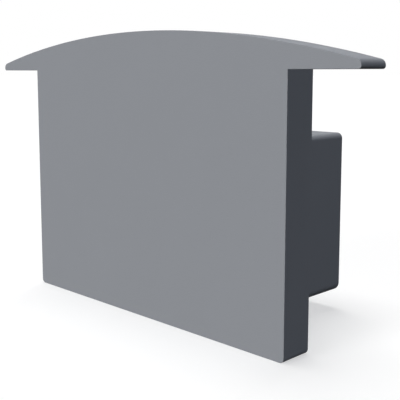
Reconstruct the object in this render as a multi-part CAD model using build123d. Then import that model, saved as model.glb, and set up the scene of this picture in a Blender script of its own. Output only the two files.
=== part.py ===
"""Push-in end cap for a recessed T-shaped light-strip profile with a domed cover.

One moulding: a flat plate with the outline of the profile's cut end, and a
block on its back, the plug, that is pushed into the profile's channel.

Frame, in millimetres: +Z is up, +X runs along the wings, and the plate's show
face looks along -Y. The origin is on the plate's back face, which seats on the
cut end, midway between the sides and level with the underside of the wings.
"""
import os

from build123d import *

# Plate: the stem closes the profile's body, and the wings close its flanges.
stem_width = 19.0
stem_height = 13.0            # underside of the wings down to the bottom edge
stem_corner_radius = 0.25     # the two bottom corners
plate_thickness = 1.8

# Domed head: one arc from wing tip to wing tip, over a flat underside.
wing_span = 26.25
crown_height = 1.95           # underside of the wings up to the top of the dome
tip_thickness = 0.37          # height of the arc's ends, before the tips are rounded
tip_top_radius = 0.25
tip_bottom_radius = 0.12

# Plug on the plate's back. Its margins are the profile's walls and their clearance.
plug_depth = 6.75
plug_side_margin = 3.0        # in from each side of the stem
plug_floor_margin = 1.05      # up from the stem's bottom edge
plug_drop = 3.33              # underside of the wings down to the top of the plug
plug_edge_radius = 0.3        # the four edges that run into the profile

# A rounding never takes more than this share of the wall that it is on.
corner_share = 0.45
tip_top_share = 0.7
tip_bottom_share = 0.34


def head_outline() -> Sketch:
    """Section of the wings and the dome, with its tips rounded."""
    half_span = wing_span / 2
    left_tip = (-half_span, tip_thickness)
    right_tip = (half_span, tip_thickness)
    left_heel = (-half_span, 0)
    right_heel = (half_span, 0)
    dome = ThreePointArc(left_tip, (0, crown_height), right_tip)
    base = Polyline(right_tip, right_heel, left_heel, left_tip)
    outline = make_face(Curve() + [dome, base])

    top_corners = outline.vertices().group_by(Axis.Y)[-1]
    outline = fillet(top_corners, min(tip_top_radius, tip_top_share * tip_thickness))
    bottom_corners = outline.vertices().group_by(Axis.Y)[0]
    return fillet(bottom_corners, min(tip_bottom_radius, tip_bottom_share * tip_thickness))


def stem_outline() -> Sketch:
    """Section of the stem, with its bottom corners rounded."""
    outline = Pos(0, -stem_height / 2) * Rectangle(stem_width, stem_height)
    bottom_corners = outline.vertices().group_by(Axis.Y)[0]
    thinnest = min(stem_width, stem_height)
    return fillet(bottom_corners, min(stem_corner_radius, corner_share * thinnest))


def plate() -> Part:
    """T-shaped plate, from its show face to its seat."""
    return extrude(Plane.XZ * (head_outline() + stem_outline()), plate_thickness)


def plug() -> Part:
    """Rounded block that fills the profile's channel."""
    width = stem_width - 2 * plug_side_margin
    height = stem_height - plug_floor_margin - plug_drop
    edge_radius = min(plug_edge_radius, corner_share * min(width, height))
    section = Pos(0, -plug_drop - height / 2) * RectangleRounded(width, height, edge_radius)
    return extrude(Plane.XZ * section, -plug_depth)


end_cap = plate() + plug()
end_cap.label = "end_cap"

os.makedirs("parts", exist_ok=True)
export_step(end_cap, "parts/end_cap.step")
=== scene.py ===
"""Looks of a push-in end cap for a recessed T-shaped light-strip profile.

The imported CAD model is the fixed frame. The cap is modelled again with finer
curves and softened edges, takes the place of the CAD node, and stands in a
plain pale studio. Lengths are in metres, +Z is up, and the show face looks
along -Y.
"""

import logging
import math
from dataclasses import dataclass
from enum import Enum

import bmesh
import bpy
from mathutils import Matrix, Vector


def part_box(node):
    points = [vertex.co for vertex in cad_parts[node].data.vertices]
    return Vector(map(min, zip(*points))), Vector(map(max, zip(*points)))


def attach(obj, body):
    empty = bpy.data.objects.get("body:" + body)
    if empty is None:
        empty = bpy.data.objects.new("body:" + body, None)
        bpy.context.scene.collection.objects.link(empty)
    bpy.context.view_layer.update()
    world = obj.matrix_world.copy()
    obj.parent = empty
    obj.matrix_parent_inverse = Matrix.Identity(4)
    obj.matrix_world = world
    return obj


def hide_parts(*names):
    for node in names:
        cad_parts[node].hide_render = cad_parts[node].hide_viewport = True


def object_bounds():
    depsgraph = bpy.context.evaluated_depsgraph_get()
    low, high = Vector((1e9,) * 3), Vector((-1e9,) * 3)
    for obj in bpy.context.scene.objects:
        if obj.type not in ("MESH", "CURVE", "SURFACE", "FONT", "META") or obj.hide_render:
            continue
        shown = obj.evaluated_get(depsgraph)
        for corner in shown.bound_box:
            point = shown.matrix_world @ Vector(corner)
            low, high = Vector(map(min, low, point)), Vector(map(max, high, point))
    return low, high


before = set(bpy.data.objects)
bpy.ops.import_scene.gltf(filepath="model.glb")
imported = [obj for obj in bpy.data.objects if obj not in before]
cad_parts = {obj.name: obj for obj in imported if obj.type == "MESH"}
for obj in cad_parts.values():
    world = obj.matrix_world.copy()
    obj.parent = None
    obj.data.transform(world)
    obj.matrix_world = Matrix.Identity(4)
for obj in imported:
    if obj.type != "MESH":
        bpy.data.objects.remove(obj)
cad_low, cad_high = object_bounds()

Point = tuple[float, float, float]
Colour = tuple[float, float, float]

MILLIMETRE = 0.001
RIGHT_ANGLE = math.pi / 2
SHARP_ANGLE = math.radians(40)  # an edge that turns by more looks sharp
SAME_PLACE = 1e-7  # corners closer than this are one
LOG = logging.getLogger("end_cap")


class Role(Enum):
    """What each lamp of the studio does."""

    KEY = "key"
    OVERHEAD = "overhead"
    SIDE = "side"
    REAR = "rear"


def put_in_scene(name: str, data: bpy.types.ID) -> bpy.types.Object:
    """Puts a mesh, a light or a camera in the scene.

    Args:
        name: The object's name.
        data: What the object holds.

    Returns:
        The new object, at the origin.
    """
    made = bpy.data.objects.new(name, data)
    bpy.context.scene.collection.objects.link(made)
    return made


def mesh_object(
    mesh: bmesh.types.BMesh, name: str, material: bpy.types.Material
) -> bpy.types.Object:
    """Turns a finished mesh into an object in the scene.

    Args:
        mesh: The mesh, which is freed.
        name: The object's name.
        material: The material of all its faces.

    Returns:
        The new object, at the origin.
    """
    data = bpy.data.meshes.new(name)
    mesh.to_mesh(data)
    mesh.free()
    data.materials.append(material)
    return put_in_scene(name, data)


def mixed_colour(
    tree: bpy.types.NodeTree, share: bpy.types.NodeSocket, low: Colour, high: Colour
) -> bpy.types.NodeSocket:
    """Mixes two colours by a share.

    Args:
        tree: The node tree that gets the new node.
        share: The output that drives the mix, from 0 to 1.
        low: The colour at share 0.
        high: The colour at share 1.

    Returns:
        The mixed colour's output.
    """
    mix = tree.nodes.new("ShaderNodeMix")
    mix.data_type = "RGBA"
    mix.inputs["A"].default_value = (*low, 1.0)
    mix.inputs["B"].default_value = (*high, 1.0)
    tree.links.new(share, mix.inputs["Factor"])
    return mix.outputs["Result"]


def seen_share(tree: bpy.types.NodeTree) -> bpy.types.NodeSocket:
    """Tells rays that show a surface from rays that only carry its light.

    Args:
        tree: The node tree that gets the new nodes.

    Returns:
        An output that is 1 for camera, glossy and transmission rays, else 0.
    """
    path = tree.nodes.new("ShaderNodeLightPath")
    seen = path.outputs["Is Camera Ray"]
    for name in ("Is Glossy Ray", "Is Transmission Ray"):
        either = tree.nodes.new("ShaderNodeMath")
        either.operation = "MAXIMUM"
        tree.links.new(seen, either.inputs[0])
        tree.links.new(path.outputs[name], either.inputs[1])
        seen = either.outputs["Value"]
    return seen


def grey(level: float) -> Colour:
    """Returns the neutral colour of that level."""
    return (level, level, level)


@dataclass(frozen=True)
class MouldedPlastic:
    """Matte moulded plastic with a fine, even grain.

    Attributes:
        colour: The plastic's colour, linear.
        tone_spread: How far the colour wanders either way, as a share.
        tone_size: Length over which the colour wanders.
        roughness: The surface's mean roughness.
        roughness_spread: How far the roughness wanders either way.
        specular: Strength of the plastic's own reflection.
        grain_size: Distance between the grain's humps.
        grain_depth: Height of the grain's humps.
        ripple_size: Length of the slow waves that moulding leaves.
        ripple_depth: Height of those waves.
    """

    colour: Colour = (0.27, 0.282, 0.305)
    tone_spread: float = 0.012
    tone_size: float = 3.0 * MILLIMETRE
    roughness: float = 0.75
    roughness_spread: float = 0.06
    specular: float = 0.04
    grain_size: float = 0.07 * MILLIMETRE
    grain_depth: float = 0.006 * MILLIMETRE
    ripple_size: float = 2.5 * MILLIMETRE
    ripple_depth: float = 0.002 * MILLIMETRE

    def material(self, name: str) -> bpy.types.Material:
        """Builds the finish as a node material.

        Args:
            name: The material's name.

        Returns:
            The new material.
        """
        made = bpy.data.materials.new(name)
        made.use_nodes = True
        tree = made.node_tree
        shader = tree.nodes["Principled BSDF"]
        shader.inputs["Specular IOR Level"].default_value = self.specular
        place = tree.nodes.new("ShaderNodeTexCoord").outputs["Object"]

        tone = self._noise(tree, place, self.tone_size, detail=3.0)
        dark = tuple(part * (1 - self.tone_spread) for part in self.colour)
        light = tuple(part * (1 + self.tone_spread) for part in self.colour)
        paint = mixed_colour(tree, tone, dark, light)
        tree.links.new(paint, shader.inputs["Base Color"])

        grain = self._noise(tree, place, self.grain_size, detail=2.0)
        sheen = tree.nodes.new("ShaderNodeMapRange")
        sheen.inputs["To Min"].default_value = self.roughness - self.roughness_spread
        sheen.inputs["To Max"].default_value = self.roughness + self.roughness_spread
        tree.links.new(grain, sheen.inputs["Value"])
        tree.links.new(sheen.outputs["Result"], shader.inputs["Roughness"])

        ripple = self._noise(tree, place, self.ripple_size, detail=1.0)
        waves = self._relief(tree, ripple, self.ripple_depth)
        humps = self._relief(tree, grain, self.grain_depth)
        tree.links.new(waves.outputs["Normal"], humps.inputs["Normal"])
        tree.links.new(humps.outputs["Normal"], shader.inputs["Normal"])
        return made

    def _noise(
        self,
        tree: bpy.types.NodeTree,
        place: bpy.types.NodeSocket,
        size: float,
        detail: float,
    ) -> bpy.types.NodeSocket:
        """Adds a noise pattern on the object's own coordinates.

        Args:
            tree: The node tree that gets the new node.
            place: The output that holds the object coordinates.
            size: Length of one cell of the pattern.
            detail: Number of finer layers that are added to it.

        Returns:
            The pattern's output, from 0 to 1.
        """
        noise = tree.nodes.new("ShaderNodeTexNoise")
        noise.inputs["Scale"].default_value = 1 / size
        noise.inputs["Detail"].default_value = detail
        tree.links.new(place, noise.inputs["Vector"])
        return noise.outputs["Fac"]

    def _relief(
        self, tree: bpy.types.NodeTree, height: bpy.types.NodeSocket, depth: float
    ) -> bpy.types.Node:
        """Adds relief from a pattern.

        Args:
            tree: The node tree that gets the new node.
            height: The pattern that is read as height.
            depth: Height of the relief where the pattern goes from 0 to 1.

        Returns:
            The bump node.
        """
        bump = tree.nodes.new("ShaderNodeBump")
        bump.inputs["Strength"].default_value = 1.0
        bump.inputs["Distance"].default_value = depth
        tree.links.new(height, bump.inputs["Height"])
        return bump


@dataclass(frozen=True)
class PaleFloor:
    """Plain floor that looks pale, and throws little light back on the object.

    Attributes:
        lit: Brightness to the eye that the lamps give the floor.
        glow: Brightness to the eye that the floor keeps in shadow.
        bounced: The floor's brightness where it only lights other surfaces.
    """

    lit: float = 0.5
    glow: float = 0.5
    bounced: float = 0.012

    def material(self, name: str) -> bpy.types.Material:
        """Builds the floor's paint as a node material.

        Args:
            name: The material's name.

        Returns:
            The new material.
        """
        made = bpy.data.materials.new(name)
        made.use_nodes = True
        tree = made.node_tree
        tree.nodes.remove(tree.nodes["Principled BSDF"])
        seen = seen_share(tree)
        paint = tree.nodes.new("ShaderNodeBsdfDiffuse")
        lift = tree.nodes.new("ShaderNodeEmission")
        both = tree.nodes.new("ShaderNodeAddShader")
        lit = mixed_colour(tree, seen, grey(self.bounced), grey(self.lit))
        glow = mixed_colour(tree, seen, grey(0.0), grey(self.glow))
        tree.links.new(lit, paint.inputs["Color"])
        tree.links.new(glow, lift.inputs["Color"])
        tree.links.new(paint.outputs["BSDF"], both.inputs[0])
        tree.links.new(lift.outputs["Emission"], both.inputs[1])
        surface = tree.nodes["Material Output"].inputs["Surface"]
        tree.links.new(both.outputs["Shader"], surface)
        return made


@dataclass
class EndCap:
    """The moulding: a T-shaped plate with a domed head, and the plug behind it.

    The box of the CAD node gives the span, the crown, the foot, the show face
    and the plug's end. The wings' underside is at height 0 and the plate's back
    at depth 0, as in the CAD frame. One half is modelled and mirrored.

    Attributes:
        node: The CAD node that the piece stands for.
        stem_width: Width of the plate below the wings.
        stem_corner_radius: Rounding of the plate's two bottom corners.
        tip_thickness: Height of the wings' ends, before they are rounded.
        tip_top_radius: Rounding of the wings' ends at the top.
        tip_bottom_radius: Rounding of the wings' ends at the bottom.
        plug_side_margin: How far in from the stem's side the plug starts.
        plug_floor_margin: How far up from the stem's foot the plug starts.
        plug_drop: How far below the wings the plug's top lies.
        plug_top_radius: Rounding of the plug's two upper long edges.
        plug_foot_radius: Rounding of the plug's two lower long edges.
        edge_radius: Softening of the outer edges that look sharp.
        edge_steps: Number of strips in a softened edge.
        dome_steps: Number of strips in half of the dome.
        corner_steps: Number of strips in a rounded corner.
        finish: The plastic.
    """

    node: str = "end_cap"
    stem_width: float = 19.0 * MILLIMETRE
    stem_corner_radius: float = 0.25 * MILLIMETRE
    tip_thickness: float = 0.37 * MILLIMETRE
    tip_top_radius: float = 0.28 * MILLIMETRE
    tip_bottom_radius: float = 0.13 * MILLIMETRE
    plug_side_margin: float = 3.0 * MILLIMETRE
    plug_floor_margin: float = 1.0 * MILLIMETRE
    plug_drop: float = 3.33 * MILLIMETRE
    plug_top_radius: float = 0.3 * MILLIMETRE
    plug_foot_radius: float = 0.45 * MILLIMETRE
    edge_radius: float = 0.02 * MILLIMETRE
    edge_steps: int = 3
    dome_steps: int = 36
    corner_steps: int = 6
    finish: MouldedPlastic = MouldedPlastic()

    def build(self) -> bpy.types.Object:
        """Builds the cap, dresses it, and puts it in the CAD node's place.

        Returns:
            The finished piece.
        """
        low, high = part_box(self.node)
        mesh = bmesh.new()
        outline = self._plate_outline(mesh, low, high)
        back_rim = self._draw_back(mesh, outline, -low.y)
        section = self._plug_section(mesh, low)
        end_rim = self._draw_back(mesh, section, high.y)
        self._close(mesh, outline)
        self._close(mesh, back_rim + section)
        self._close(mesh, end_rim)
        self._mirror(mesh)
        self._soften_edges(mesh)
        piece = self._piece(mesh, "end_cap_moulding")
        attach(piece, "root")
        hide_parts(self.node)
        return piece

    def _plate_outline(
        self, mesh: bmesh.types.BMesh, low: Vector, high: Vector
    ) -> list[bmesh.types.BMEdge]:
        """Draws half of the plate's outline in the plane of the show face.

        The head's top is one arc from tip to tip, and each tip is rounded.

        Args:
            mesh: The mesh that gets the outline.
            low: Lowest corner of the CAD node's box.
            high: Highest corner of the CAD node's box.

        Returns:
            The outline's edges, from the crown round to the middle of the foot.
        """
        half_span = high.x
        rise = high.z - self.tip_thickness
        radius = (half_span**2 + rise**2) / (2 * rise)
        slope = math.asin(half_span / radius)
        arc = bmesh.ops.spin(
            mesh,
            geom=[mesh.verts.new((0, low.y, high.z))],
            cent=(0, low.y, high.z - radius),
            axis=(0, 1, 0),
            angle=slope,
            steps=self.dome_steps,
            use_duplicate=False,
        )
        tip = arc["geom_last"][0]
        half_stem = self.stem_width / 2
        runs = [(half_span, 0), (half_stem, 0), (half_stem, low.z), (0, low.z)]
        heel, _, sole, _ = self._straight_runs(mesh, tip, runs)
        self._round_corner(mesh, tip, self.tip_top_radius, RIGHT_ANGLE - slope)
        self._round_corner(mesh, heel, self.tip_bottom_radius)
        self._round_corner(mesh, sole, self.stem_corner_radius)
        return mesh.edges[:]

    def _plug_section(
        self, mesh: bmesh.types.BMesh, low: Vector
    ) -> list[bmesh.types.BMEdge]:
        """Draws half of the plug's section in the plane of the plate's back.

        Args:
            mesh: The mesh that gets the section.
            low: Lowest corner of the CAD node's box.

        Returns:
            The section's edges, from the middle of its top to that of its foot.
        """
        drawn = set(mesh.edges)
        side = self.stem_width / 2 - self.plug_side_margin
        foot = low.z + self.plug_floor_margin
        start = mesh.verts.new((0, 0, -self.plug_drop))
        runs = [(side, -self.plug_drop), (side, foot), (0, foot)]
        top_corner, foot_corner, _ = self._straight_runs(mesh, start, runs)
        self._round_corner(mesh, top_corner, self.plug_top_radius)
        self._round_corner(mesh, foot_corner, self.plug_foot_radius)
        return [edge for edge in mesh.edges if edge not in drawn]

    def _straight_runs(
        self,
        mesh: bmesh.types.BMesh,
        start: bmesh.types.BMVert,
        ends: list[tuple[float, float]],
    ) -> list[bmesh.types.BMVert]:
        """Draws straight runs on from one point of an outline.

        Args:
            mesh: The mesh that holds the outline.
            start: The point that the first run starts from.
            ends: Where each run ends, across the plate and in height.

        Returns:
            The corner at each run's end.
        """
        corners = [start]
        for x, z in ends:
            run = bmesh.ops.extrude_vert_indiv(mesh, verts=[corners[-1]])
            corner = run["verts"][0]
            corner.co.x, corner.co.z = x, z
            corners.append(corner)
        return corners[1:]

    def _round_corner(
        self,
        mesh: bmesh.types.BMesh,
        corner: bmesh.types.BMVert,
        radius: float,
        turn: float = RIGHT_ANGLE,
    ) -> None:
        """Rounds one corner of an outline.

        Args:
            mesh: The mesh that holds the outline.
            corner: The corner.
            radius: The rounding's radius.
            turn: Angle by which the outline turns at the corner.
        """
        bmesh.ops.bevel(
            mesh,
            geom=[corner],
            offset=radius * math.tan(turn / 2),
            offset_type="OFFSET",
            segments=self.corner_steps,
            profile=0.5,
            affect="VERTICES",
            material=-1,
        )

    def _draw_back(
        self,
        mesh: bmesh.types.BMesh,
        outline: list[bmesh.types.BMEdge],
        depth: float,
    ) -> list[bmesh.types.BMEdge]:
        """Draws walls straight back from an outline.

        Args:
            mesh: The mesh that holds the outline.
            outline: The outline's edges.
            depth: Length of the walls.

        Returns:
            The edges at the walls' far end, in the outline's shape.
        """
        walls = bmesh.ops.extrude_edge_only(mesh, edges=outline)["geom"]
        corners = [part for part in walls if isinstance(part, bmesh.types.BMVert)]
        bmesh.ops.translate(mesh, verts=corners, vec=(0, depth, 0))
        return [part for part in walls if isinstance(part, bmesh.types.BMEdge)]

    def _close(
        self, mesh: bmesh.types.BMesh, edges: list[bmesh.types.BMEdge]
    ) -> None:
        """Fills the flat face inside half an outline, or between two of them.

        Args:
            mesh: The mesh that holds the outlines.
            edges: The edges of one half outline, or of two in one plane.
        """
        loop = bmesh.ops.edgenet_prepare(mesh, edges=edges)["edges"]
        bmesh.ops.edgeloop_fill(mesh, edges=loop)

    def _mirror(self, mesh: bmesh.types.BMesh) -> None:
        """Adds the other half, and turns every face outwards.

        Args:
            mesh: The mesh that holds the half at positive X.
        """
        bmesh.ops.mirror(
            mesh,
            geom=mesh.verts[:] + mesh.edges[:] + mesh.faces[:],
            matrix=Matrix.Identity(4),
            merge_dist=SAME_PLACE,
            axis="X",
        )
        bmesh.ops.remove_doubles(mesh, verts=mesh.verts[:], dist=SAME_PLACE)
        bmesh.ops.recalc_face_normals(mesh, faces=mesh.faces[:])

    def _soften_edges(self, mesh: bmesh.types.BMesh) -> None:
        """Takes the sharpness off the outer edges, as moulding does.

        Args:
            mesh: The closed mesh.
        """
        outer = [
            edge for edge in mesh.edges if edge.calc_face_angle_signed() > SHARP_ANGLE
        ]
        bmesh.ops.bevel(
            mesh,
            geom=outer,
            offset=self.edge_radius,
            offset_type="OFFSET",
            segments=self.edge_steps,
            profile=0.5,
            affect="EDGES",
            material=-1,
        )

    def _piece(self, mesh: bmesh.types.BMesh, name: str) -> bpy.types.Object:
        """Turns the finished mesh into an object with even shading.

        Args:
            mesh: The mesh, which is freed.
            name: The piece's name.

        Returns:
            The new object, at the origin.
        """
        for face in mesh.faces:
            face.smooth = True
        piece = mesh_object(mesh, name, self.finish.material("matte_grey_plastic"))
        piece.data.set_sharp_from_angle(angle=SHARP_ANGLE)
        even = piece.modifiers.new("even_shading", "WEIGHTED_NORMAL")
        even.keep_sharp = True
        return piece


@dataclass(frozen=True)
class SoftLamp:
    """A distant soft lamp, whose light falls evenly on the whole floor.

    Attributes:
        role: What the lamp does.
        towards: Direction from the object to the lamp.
        level: Brightness of a white surface that faces the lamp.
        width: How wide the lamp looks from the object, in degrees.
        colour: The light's colour.
        shadows: Whether its light casts shadows.
        mirrored: Whether it shows in reflections.
    """

    role: Role
    towards: Point
    level: float
    width: float
    colour: Colour = (1.0, 1.0, 1.0)
    shadows: bool = True
    mirrored: bool = True

    def hang(self) -> None:
        """Puts the lamp in the scene."""
        light = bpy.data.lights.new(self.role.value, "SUN")
        light.energy = math.pi * self.level
        light.angle = math.radians(self.width)
        light.color = self.colour
        light.use_shadow = self.shadows
        holder = put_in_scene(self.role.value, light)
        holder.visible_glossy = self.mirrored
        turn = Vector(self.towards).to_track_quat("Z", "Y")
        holder.rotation_euler = turn.to_euler()


LAMPS = (
    SoftLamp(Role.KEY, (-0.15, -1.0, 0.1), level=1.11, width=25.0),
    SoftLamp(
        Role.OVERHEAD,
        (-0.25, 0.0, 1.0),
        level=0.715,
        width=40.0,
        colour=(1.0, 0.99, 0.97),
    ),
    SoftLamp(
        Role.SIDE,
        (1.0, 0.0, 1.0),
        level=0.238,
        width=30.0,
        colour=(0.94, 1.0, 1.12),
        shadows=False,
    ),
    SoftLamp(Role.REAR, (-0.4, 0.9, 0.15), level=0.68, width=30.0, mirrored=False),
)


@dataclass(frozen=True)
class Studio:
    """Plain pale floor, white surroundings, soft lamps and the camera.

    Attributes:
        lamps: The lamps to hang.
        floor: The floor's paint.
        floor_reach: Distance from the floor's middle to its sides.
        ambient: Brightness that the surroundings give the object.
        azimuth: How far right of the show face the camera stands, in degrees.
        elevation: How far the camera looks down, in degrees.
        distance: Distance from the camera to the object's middle.
        lens: The camera's focal length, in Blender's millimetres.
        shift: How far the view is moved up, as a share of its width.
        nearest: Distance from the camera at which its view starts.
    """

    lamps: tuple[SoftLamp, ...] = LAMPS
    floor: PaleFloor = PaleFloor()
    floor_reach: float = 3.0
    ambient: float = 0.012
    azimuth: float = 44.96
    elevation: float = 7.29
    distance: float = 42.28 * MILLIMETRE
    lens: float = 68.06
    shift: float = -0.0757
    nearest: float = 1.0 * MILLIMETRE

    def build(self) -> None:
        """Builds the floor, the surroundings, the lamps and the camera."""
        self._lay_floor()
        self._surround()
        for lamp in self.lamps:
            lamp.hang()
        self._aim_camera()

    def _lay_floor(self) -> None:
        """Lays the floor under the object's lowest point."""
        mesh = bmesh.new()
        lowest = Matrix.Translation((0, 0, cad_low.z))
        bmesh.ops.create_grid(
            mesh, x_segments=1, y_segments=1, size=self.floor_reach, matrix=lowest
        )
        mesh_object(mesh, "floor", self.floor.material("pale_floor"))

    def _surround(self) -> None:
        """Makes the surroundings white to the eye, and dim as a light."""
        world = bpy.data.worlds.new("surroundings")
        world.use_nodes = True
        tree = world.node_tree
        colour = mixed_colour(tree, seen_share(tree), grey(self.ambient), grey(1.0))
        tree.links.new(colour, tree.nodes["Background"].inputs["Color"])
        bpy.context.scene.world = world

    def _aim_camera(self) -> None:
        """Aims the camera at the middle of the object."""
        turn, lift = math.radians(self.azimuth), math.radians(self.elevation)
        across, along = math.sin(turn), -math.cos(turn)
        back = Vector(
            (across * math.cos(lift), along * math.cos(lift), math.sin(lift))
        )
        camera = bpy.data.cameras.new("camera")
        camera.lens = self.lens
        camera.shift_y = self.shift
        camera.clip_start = self.nearest
        holder = put_in_scene("camera", camera)
        holder.location = (cad_low + cad_high) / 2 + back * self.distance
        holder.rotation_euler = back.to_track_quat("Z", "Y").to_euler()
        bpy.context.scene.camera = holder


def main() -> None:
    """Builds the cap and its studio, and reports each piece."""
    logging.basicConfig(level=logging.INFO, format="%(message)s")
    cap = EndCap().build()
    LOG.info("%s: %d faces", cap.name, len(cap.data.polygons))
    studio = Studio()
    studio.build()
    LOG.info("studio: floor, surroundings, %d lamps, camera", len(studio.lamps))
    bpy.context.scene.view_settings.view_transform = "Standard"


if __name__ == "__main__":
    main()
